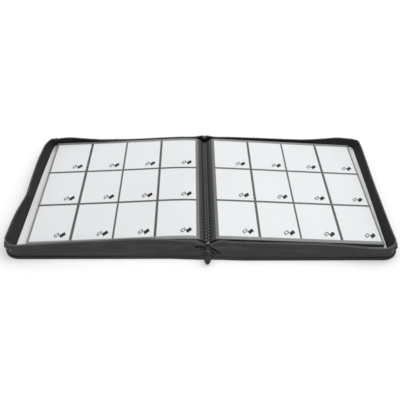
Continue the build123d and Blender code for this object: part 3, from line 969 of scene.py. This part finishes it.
class BINDER_OT_slider(bpy.types.Operator):
    """Slider of two shield plates on a nose, with an arched bridge for the pull"""

    bl_idname = "binder.slider"
    bl_label = "Slider"

    def execute(self, context):
        low, high = span("zip_slider")
        half = (high[0] - low[0]) / 2
        back = high[1]
        front = back - SLIDER_DEPTH
        foot, head = low[2], high[2]
        shield = hull_outline([(-half + 2.0, head - 2.4, 2.0), (half - 2.0, head - 2.4, 2.0),
                               (-half + 2.6, foot + 3.6, 2.2), (half - 2.6, foot + 3.6, 2.2),
                               (0, foot + 2.4, 2.4)])
        plates = [slab(shield, PLATE, 0.55, (0, y, 0), UPRIGHT)
                  for y in (front + PLATE / 2, back - PLATE / 2)]
        nose = slab(hull_outline([(-1.6, head - 2.2, 1.6), (1.6, head - 2.2, 1.6), (0, head - 4.6, 1.2)]),
                    back - front - 1.8, 0.2, (0, (front + back) / 2, 0), UPRIGHT)
        flanges = [slab(rounded_box_outline(0.9, (head - foot) * 0.62, 0.4), 2.4, 0.3,
                        (x * (half - 0.75), (front + back) / 2, (foot + head) / 2 - 0.6), UPRIGHT)
                   for x in (-1, 1)]
        sideways = np.array([(0, 1, 0), (0, 0, 1), (1, 0, 0)], float)
        arch = pierced_slab(hull_outline([(0, 0, 2.3), (2.6, 0, 2.3), (2.6, -0.4, 2.3)], 40), circle(1.0, 40),
                            3.0, 0.5, pull_pivot(), sideways)
        place("slider_body", joined(plates + [nose] + flanges + [arch]),
              metal("slider metal", context.scene.binder_zip.metal_colour, 0.34), "zip_metal", body="zip_slider",
              stands_for=["zip_slider"])
        return {"FINISHED"}


class BINDER_OT_pull(bpy.types.Operator):
    """Pull: a pin through the bridge, two arms and a tapered tab with a raised panel, leaning out"""

    bl_idname = "binder.pull"
    bl_label = "Pull"

    def execute(self, context):
        pivot = pull_pivot()
        rise, out = np.cos(PULL_LEAN), np.sin(PULL_LEAN)
        axes = np.array([(1, 0, 0), (0, out, rise), (0, -rise, out)])
        tab = hull_outline([(-3.0, -6.2, 3.4), (1.2, -6.2, 3.4), (-2.8, -11.8, 3.2), (1.0, -11.8, 3.2),
                            (-0.9, -15.6, 2.8)], 64)
        panel_outline = hull_outline([(-2.7, -7.0, 2.3), (0.9, -7.0, 2.3), (-0.9, -14.8, 1.8)], 64)
        ridge = hull_outline([(-0.7, -8.2, 0.8), (-1.0, -14.9, 0.8)], 32)
        shapes = [slab(tab, 1.3, 0.5, pivot, axes), slab(panel_outline, 1.65, 0.25, pivot, axes),
                  slab(ridge, 2.0, 0.2, pivot, axes)]
        for x in (-1, 1):
            arm = hull_outline([(x * 2.65, 0.3, 0.8), (x * 2.65, -8.2, 0.8)], 24)
            shapes.append(slab(arm, 1.5, 0.45, pivot, axes))
        rod = np.column_stack([np.repeat(0.0, 12), circle(0.75, 12)])
        pin = np.stack([rod + (x, 0, 0) for x in (-3.3, 3.3)])
        shapes.append(sweep(pin + pivot))
        finish = metal("pull metal", tone(context.scene.binder_zip.metal_colour, 0.9), 0.4)
        place("pull_tab", joined(shapes), finish, "zip_metal", body="zip_pull", stands_for=["zip_pull"])
        return {"FINISHED"}


# Pages -------------------------------------------------------------------------------------------

COLUMN_PITCH, ROW_PITCH = 68.4, 90.5  # of the pockets
POCKET_LINES = 1.0 + COLUMN_PITCH * np.arange(5)  # welds and slits, from a leaf's inner edge
ROW_LINES = ROW_PITCH * (np.arange(4) - 1.5)  # welds between and outside the rows
SLIT_HALF = 0.3
FILM_LOW = 0.24  # height of the film where it lies on a weld, above the middle of the sheet
FILM_RISE = 2.6  # distance from a weld within which the film rises to its height
WELD_TOP, WELD_FOOT = 0.42, 0.26  # heights of a weld's upper and lower face above the middle of the sheet
SWELL_PEAK = 45  # where a leaf swells most, from its inner edge
CARD_SIZE = np.array([65.2, 87.1])
CARD_COLUMNS = np.array([34.2, 103.8, 171.8, 241.8])  # middle of each column of cards, from the inner edge
CARD_ROWS = ROW_PITCH * np.array([-1, 0, 1])
CARD_TOP = 0.34  # height of a card's face above the middle of the sheet
MARK_MARGIN = (7.4, 7.6)  # between the diamonds and the card's right and front edge


def leaf_axes(side, node):
    """A leaf's inner edge, and its directions outwards, towards the back and up from its face."""
    low, high = span(node)
    inner = np.array([side * min(abs(low[0]), abs(high[0])), 0, high[2] - SHEET_HALF])
    outer = np.array([side * max(abs(low[0]), abs(high[0])), 0, low[2] + SHEET_HALF])
    along = (outer - inner) / np.linalg.norm(outer - inner)
    back = np.array([0.0, 1.0, 0.0])
    return inner, along, back, side * np.cross(along, back), np.linalg.norm(outer - inner)


def on_leaf(leaf, a, y, h):
    """Points at distance a from a leaf's inner edge, y from its middle and h above the middle of its sheet.
    The leaf swells by a times the exponential of minus a, both measured in the distance to the peak. The right
    leaf has a tenth of the left one's swell."""
    inner, along, back, up, _ = leaf
    a, y, h = np.broadcast_arrays(a, y, h)
    swell = bpy.context.scene.binder_pages.leaf_swell / MM * (1.0 if inner[0] < 0 else 0.1)
    h = h + swell * a / SWELL_PEAK * np.exp(1 - a / SWELL_PEAK)
    return inner + a[..., None] * along + y[..., None] * back + h[..., None] * up


def film_shapes(leaf, face):
    """Clear film over one face in three strips, split at the slits.
    It lies low on a weld and rises by a smooth step within a few millimetres to its height over the cards."""
    crown = bpy.context.scene.binder_pages.film_crown / MM
    half = LEAF_HIGH[1]
    ease = np.array([0, 0.4, 1.0, 1.8, 2.8, 4.5])
    lines = np.clip(ROW_LINES, -half, half)
    y = np.unique(np.concatenate([np.concatenate([low + ease, np.linspace(low + 8, high - 8, 9), high - ease])
                                  for low, high in zip(lines[:-1], lines[1:])] + [[-half, half]]))
    y = y[np.abs(y) <= half]
    rise_y = smooth_step(np.abs(y[:, None] - ROW_LINES).min(1) / FILM_RISE)
    rise_y = np.where(np.abs(y) > half - 3.6, 0, rise_y)
    first, second, third = POCKET_LINES[[0, 2, 4]]
    low_slit, high_slit = POCKET_LINES[[1, 3]]
    strips = [(0.0, low_slit - SLIT_HALF, first + 1.2), (low_slit + SLIT_HALF, high_slit - SLIT_HALF, second),
              (high_slit + SLIT_HALF, leaf[4], third - 1.0)]
    shapes = []
    for low, high, weld in strips:
        a = np.unique(np.concatenate([np.linspace(low, high, 24), weld - ease, weld + ease]))
        a = a[(a >= low) & (a <= high)]
        rise = smooth_step(np.abs(a - weld) / FILM_RISE)[:, None] * rise_y
        rise = np.where((a[:, None] > third - 0.6) | (a[:, None] < 1.0), 0, rise)
        wave = 0.04 * ripple(a[:, None] / 55, y / 55, 13) * rise
        height = FILM_LOW + crown * rise + wave
        top = on_leaf(leaf, a[:, None], y, face * height)
        shapes.append(shell(top, face * 0.08))
    return shapes


def pressed_band(leaf, face, a, y, dimple):
    """One weld on a grid of a and y: its upper face lowered by the dimples, over a level lower face."""
    height = WELD_TOP - bpy.context.scene.binder_pages.weld_dot_depth / MM * dimple
    return shell(on_leaf(leaf, a[:, None], y, face * height), face * (height - WELD_FOOT))


def across(at):
    """A half sine wave over the range of the values."""
    return np.sin(np.pi * (at - at[0]) / (at[-1] - at[0]))


def weld_shapes(leaf, face):
    """Pressed welds round the leaf and between its pockets: narrow bands a hair above the film, with a row of
    round dimples down the middle. A dimple's depth is a raised cosine along the band times a half sine
    across it."""
    pages = bpy.context.scene.binder_pages
    pitch = pages.weld_dot_pitch / MM
    half = LEAF_HIGH[1]
    edge = half - pages.edge_weld / MM
    length = leaf[4]
    outer_start = CARD_COLUMNS[-1] + CARD_SIZE[0] / 2 - 0.1
    slits = POCKET_LINES[[1, 3]]
    row_half, middle_half = (w / MM / 2 for w in (pages.row_weld, pages.middle_weld))
    around, between = [], []
    rows = [(-half + 0.1, -edge), (ROW_LINES[1] - row_half, ROW_LINES[1] + row_half),
            (ROW_LINES[2] - row_half, ROW_LINES[2] + row_half), (edge, half - 0.1)]
    runs = [(0.1, slits[0] - SLIT_HALF), (slits[0] + SLIT_HALF, slits[1] - SLIT_HALF),
            (slits[1] + SLIT_HALF, length - 0.1)]
    for shapes, (low, high) in zip((around, between, between, around), rows):
        for start, end in runs:
            a = np.linspace(start, end, int((end - start) / pitch * 4))
            y = np.linspace(low, high, 6)
            shapes.append(pressed_band(leaf, face, a, y, beat(a, pitch)[:, None] * across(y)))
    inner_end = CARD_COLUMNS[0] - CARD_SIZE[0] / 2 + 0.1
    columns = [(0.1, inner_end), (POCKET_LINES[2] - middle_half, POCKET_LINES[2] + middle_half),
               (outer_start, length - 0.1)]
    for shapes, (low, high) in zip((around, between, around), columns):
        for start, end in zip([r[1] for r in rows[:-1]], [r[0] for r in rows[1:]]):
            y = np.linspace(start, end, int((end - start) / pitch * 4))
            a = np.linspace(low, high, 6)
            shapes.append(pressed_band(leaf, face, a, y, across(a)[:, None] * beat(y, pitch)))
    return around, between


def card_shapes(leaf, face):
    """A blank card with small round corners in each pocket: lines across it at steps of its width, each as long
    as the card is deep there."""
    corner = bpy.context.scene.binder_pages.card_corner / MM
    half_width, half_depth = CARD_SIZE / 2
    turn = np.sin(np.linspace(0, np.pi / 2, 5))
    x = np.concatenate([corner * (1 - turn[::-1]), np.linspace(corner, 2 * half_width - corner, 18)[1:-1],
                        2 * half_width - corner * (1 - turn)]) - half_width
    over = np.clip(np.abs(x) - (half_width - corner), 0, corner)
    depth = half_depth - corner + np.sqrt(np.maximum(corner ** 2 - over ** 2, 0))
    share = np.linspace(-1, 1, 9)
    shapes = []
    for column in CARD_COLUMNS:
        for row in CARD_ROWS:
            top = on_leaf(leaf, (column + x)[:, None], row + depth[:, None] * share, face * CARD_TOP)
            shapes.append(shell(top, np.full(top.shape[:2], face * 0.16)))
    return shapes


def mark_shapes(side, leaf, face):
    """A pair of slanting diamonds in the lower right of each pocket, the first an outline, the second solid.
    They are laid out in the leaf's own coordinates, so that they follow its swell."""
    pages = bpy.context.scene.binder_pages
    width, height = pages.mark_width / MM, pages.mark_height / MM
    right = side * face
    slant = 0.16 * height
    diamond = hull_outline([(slant, height * 0.36, 1.0), (width * 0.19, 0.6, 1.0),
                            (-slant, -height * 0.36, 1.0), (-width * 0.19, -0.6, 1.0)], 48)
    inside = hull_outline([(slant * 0.8, height * 0.25, 0.5), (width * 0.125, 0.4, 0.5),
                           (-slant * 0.8, -height * 0.25, 0.5), (-width * 0.125, -0.4, 0.5)], 48)
    upright = np.eye(3)
    ring = pierced_slab(diamond * 0.94, inside, 0.05, 0.01, (-width * 0.27, 0, 0), upright)
    solid = slab(diamond * 1.08, 0.05, 0.01, (width * 0.25, 0, 0), upright)
    a, y = (v.ravel() for v in np.meshgrid(CARD_COLUMNS, CARD_ROWS, indexing="ij"))
    a = a + right * (CARD_SIZE[0] / 2 - MARK_MARGIN[0] - width / 2)
    y = y - CARD_SIZE[1] / 2 + MARK_MARGIN[1] + height / 2
    height_above = np.full_like(a, face * (FILM_LOW + pages.film_crown / MM + 0.08))
    axes = np.broadcast_to(np.diag([right, 1.0, face]).astype(float), (len(a), 3, 3))
    shapes = []
    for shape in (ring, solid):
        points, faces = repeated(shape, np.stack([a, y, height_above], -1), axes)
        shapes.append((on_leaf(leaf, *points.T), faces))
    return shapes


class BINDER_OT_pages(bpy.types.Operator):
    """Upper two leaves of each side: welds, clear film, cards and printed marks on their backing sheets"""

    bl_idname = "binder.pages"
    bl_label = "Pocket pages"

    def execute(self, context):
        pages = context.scene.binder_pages
        film = plastic("clear pocket film", (0.8, 0.82, 0.84), 0.16, 0.5, alpha=0.035)
        weld = plastic("pocket weld", pages.weld_colour, 0.42)
        edge_weld = plastic("frosted edge weld", pages.edge_weld_colour, 0.42)
        sheet = plastic("page sheet", pages.sheet_colour, 0.45)
        ink = plastic("black ink", pages.mark_colour, 0.4, 0.3)
        for name, side in SIDES.items():
            for part, body, faces in (("top_leaf", "top_leaf", (1, -1)), ("leaf_2", "leaves", (1,))):
                leaf = leaf_axes(side, f"{name}_{part}_sheet")
                body = f"{name}_{body}"
                films = [s for face in faces for s in film_shapes(leaf, face)]
                place(f"{name}_{part}_pocket_film", joined(films), film, "page_film", body=body,
                      stands_for=[f"{name}_{part}_films"])
                welds = [weld_shapes(leaf, face) for face in faces]
                around, between = (sum(shapes, []) for shapes in zip(*welds))
                place(f"{name}_{part}_edge_welds", joined(around), edge_weld, "page_sheet", body=body)
                place(f"{name}_{part}_pocket_welds", joined(between), weld, "page_sheet", body=body)
                cards = [s for face in faces for s in card_shapes(leaf, face)]
                place(f"{name}_{part}_blank_cards", joined(cards), card_stock("blank card"), "card", body=body,
                      stands_for=[f"{name}_{part}_cards"])
                marks = [s for face in faces for s in mark_shapes(side, leaf, face)]
                place(f"{name}_{part}_diamonds", joined(marks), ink, "card", body=body)
                a = np.linspace(0, leaf[4], 60)[:, None]
                back = span(f"{name}_{part}_sheet")[1][1]
                backing = on_leaf(leaf, a, np.linspace(-back, back, 9), SHEET_HALF)
                thickness = np.full(backing.shape[:2], 2 * SHEET_HALF)
                place(f"{name}_{part}_backing", shell(backing, thickness), sheet, "page_sheet", body=body,
                      stands_for=[f"{name}_{part}_sheet"])
        return {"FINISHED"}


class BINDER_OT_lower_leaves(bpy.types.Operator):
    """Finish of the lower leaves"""

    bl_idname = "binder.lower_leaves"
    bl_label = "Lower leaves"

    def execute(self, context):
        sheet = plastic("page sheet", context.scene.binder_pages.sheet_colour, 0.45)
        names = [f"leaf_{n}" for n in range(3, 11)]
        dress([f"{side}_{n}" for side in SIDES for n in names], sheet)
        return {"FINISHED"}


MARGIN_DROPS = (0, 1.8, 5.2, 9.6, 14.0)  # of the layers' outer edges, below the top leaf's inner edge
VALLEY_HEIGHT, VALLEY_STEP = 15.0, 2.3  # of the upper layer, and from each layer to the next
VALLEY_HALF = 3.4  # half the valley's width
DOT_MIDDLE, DOT_HALF = 1.9, 1.8  # of the raised dots, across the valley
STRIP_START, STRIP_MIDDLE = 13.0, 15.0  # of the pale welded strip beside the top leaf


class BINDER_OT_gutter(bpy.types.Operator):
    """Binding margins of the leaves, one over another, falling to the valley with its chequer of raised dots"""

    bl_idname = "binder.gutter"
    bl_label = "Gutter"

    def execute(self, context):
        pages = context.scene.binder_pages
        finish = plastic("binding margin", pages.gutter_colour, 0.5, 0.35,
                         pale=tone(pages.edge_weld_colour, 0.78))
        pitch = pages.binding_dot_pitch / MM
        y = np.linspace(-GUTTER_HALF, GUTTER_HALF, 420)
        edge = LEAF_LOW[0]
        crest = LEAF_HIGH[2] - SHEET_HALF
        for name, side in SIDES.items():
            shapes, shades = [], []
            for layer, drop in enumerate(MARGIN_DROPS):
                top = crest - drop
                valley = VALLEY_HEIGHT - VALLEY_STEP * layer
                x = np.linspace(0.35, edge - 0.02, 40 if layer == 0 else 10)
                t = np.clip((x - VALLEY_HALF) / (edge - VALLEY_HALF), 0, 1)
                z = valley + (top - valley) * np.sin(np.pi / 2 * t) ** 0.85
                rows = y if layer == 0 else y[::30]
                dots = 0 * (x[:, None] + rows)
                weld = dots
                if layer == 0:
                    offset = 0.0 if side > 0 else 0.5
                    round_dot = smooth_step((beat(rows / pitch + offset, 1.0) - 0.5) / 0.3)
                    dots = round_dot * smooth_step((DOT_HALF - np.abs(x[:, None] - DOT_MIDDLE)) / 0.6)
                    strip = smooth_step((x[:, None] - STRIP_START) / 0.5)
                    pressed = beat(rows, 3.0) * smooth_step((1.4 - np.abs(x[:, None] - STRIP_MIDDLE)) / 0.8)
                    weld = strip * (1 - 0.35 * pressed)
                grid = np.zeros((len(x), len(rows), 3))
                grid[..., 0] = side * x[:, None]
                grid[..., 1] = rows
                grid[..., 2] = z[:, None] + 0.3 * dots
                inside = smooth_step((3.9 - x[:, None]) / 0.6)
                # The flanks get the margin's own grey, paler further from the valley: painted shade, darker down
                # in the valley
                flank_grey_and_painted_shade = (0.12 + 0.10 * smooth_step((x[:, None] - 4) / 8)) * (1 - inside)
                pale = np.clip(weld + flank_grey_and_painted_shade + inside * 0.6 * dots, 0, 1)
                shapes.append(shell(grid, 0.25))
                shades += [np.broadcast_to(pale, grid.shape[:2]).ravel()] * 2
            place(f"{name}_binding_margins", joined(shapes), finish, "page_sheet",
                  bend=("spine", f"{name}_leaves", (side * 1.0, 0, 0), (side * (edge - 4.0), 0, 0)),
                  stands_for=[f"{name}_gutter_web"], shade=np.concatenate(shades), crisp=60)
        return {"FINISHED"}


# Stage -------------------------------------------------------------------------------------------

CAMERA_TARGET = Vector((11 * MM, -18 * MM, 0.0))  # the point on the table that the camera looks at


class BINDER_OT_stage(bpy.types.Operator):
    """Plain pale floor, soft light from all round and one large lamp, and the camera"""

    bl_idname = "binder.stage"
    bl_label = "Stage"

    def execute(self, context):
        stage = context.scene.binder_stage
        edge = np.linspace(-4000, 4000, 5)
        grid = np.stack(np.meshgrid(edge, edge, indexing="ij") + [np.zeros((5, 5))], -1)
        mesh = bpy.data.meshes.new("floor")
        mesh.from_pydata((grid.reshape(-1, 3) * MM).tolist(), [], grid_faces(5, 5).tolist())
        f = Finish("pale floor", 0.9, 0.1)
        colour = tuple(stage.floor_colour) + (1.0,)
        mesh.materials.append(f.done(f.mixed(f.noise(3.0), tone(colour, 0.99), tone(colour, 1.01))))
        floor = bpy.data.objects.new("floor", mesh)
        context.scene.collection.objects.link(floor)
        world = bpy.data.worlds.new("studio")
        world.use_nodes = True
        background = world.node_tree.nodes["Background"].inputs
        background["Color"].default_value = (1.0, 1.0, 1.0, 1.0)
        background["Strength"].default_value = stage.sky
        context.scene.world = world
        context.scene.view_settings.view_transform = "Standard"
        lamp = bpy.data.lights.new("soft key", "AREA")
        lamp.shape = "RECTANGLE"
        lamp.size, lamp.size_y = 2.2, 1.4
        lamp.energy = stage.key
        light = bpy.data.objects.new("soft key", lamp)
        light.location = (0.9, 0.9, 1.9)
        light.rotation_euler = (-light.location).to_track_quat("-Z", "Y").to_euler()
        context.scene.collection.objects.link(light)
        self.aim_camera(context, stage)
        return {"FINISHED"}

    def aim_camera(self, context, stage):
        """Stands the camera back from its target along its elevation and turn, then tilts it by its roll."""
        data = bpy.data.cameras.new("camera")
        data.lens = stage.lens
        data.sensor_width = 36.0
        data.shift_x = -0.03
        data.clip_start, data.clip_end = 0.01, 50.0
        camera = bpy.data.objects.new("camera", data)
        elevation, turn, roll = stage.elevation, stage.turn, stage.roll
        level = np.cos(elevation)
        away = Vector((np.sin(turn) * level, -np.cos(turn) * level, np.sin(elevation)))
        right = Vector((np.cos(turn), np.sin(turn), 0.0))
        up = away.cross(right)
        across = right * np.cos(roll) + up * np.sin(roll)
        upward = up * np.cos(roll) - right * np.sin(roll)
        turned = Matrix((across, upward, away)).transposed().to_4x4()
        camera.matrix_world = Matrix.Translation(CAMERA_TARGET + away * stage.distance) @ turned
        context.scene.collection.objects.link(camera)
        context.scene.camera = camera


# Add-on ------------------------------------------------------------------------------------------

GROUPS = {"binder_case": BinderCaseSettings, "binder_pages": BinderPageSettings,
          "binder_zip": BinderZipSettings, "binder_stage": BinderStageSettings}
OPERATORS = (BINDER_OT_stage, BINDER_OT_skins, BINDER_OT_linings, BINDER_OT_walls, BINDER_OT_gussets,
             BINDER_OT_welts, BINDER_OT_zip_halves, BINDER_OT_zip_ends, BINDER_OT_slider, BINDER_OT_pull,
             BINDER_OT_lower_leaves, BINDER_OT_pages, BINDER_OT_gutter)


class BINDER_PT_panel(bpy.types.Panel):
    """Lists the binder's settings and its makers in the sidebar"""

    bl_idname = "BINDER_PT_panel"
    bl_label = "Card binder"
    bl_space_type = "VIEW_3D"
    bl_region_type = "UI"
    bl_category = "Binder"

    def draw(self, context):
        for operator in OPERATORS:
            self.layout.operator(operator.bl_idname)
        for attribute, group in GROUPS.items():
            box = self.layout.box()
            for key in group.__annotations__:
                box.prop(getattr(context.scene, attribute), key)


def register():
    """Adds the classes, and the settings to the scene."""
    for cls in (*GROUPS.values(), *OPERATORS, BINDER_PT_panel):
        bpy.utils.register_class(cls)
    for attribute, group in GROUPS.items():
        setattr(bpy.types.Scene, attribute, PointerProperty(type=group))


def unregister():
    """Takes the settings and the classes away again."""
    for attribute in GROUPS:
        delattr(bpy.types.Scene, attribute)
    for cls in (*GROUPS.values(), *OPERATORS, BINDER_PT_panel):
        bpy.utils.unregister_class(cls)


def main():
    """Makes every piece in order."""
    register()
    for operator in OPERATORS:
        group, name = operator.bl_idname.split(".")
        getattr(getattr(bpy.ops, group), name)()


if __name__ == "__main__":
    main()
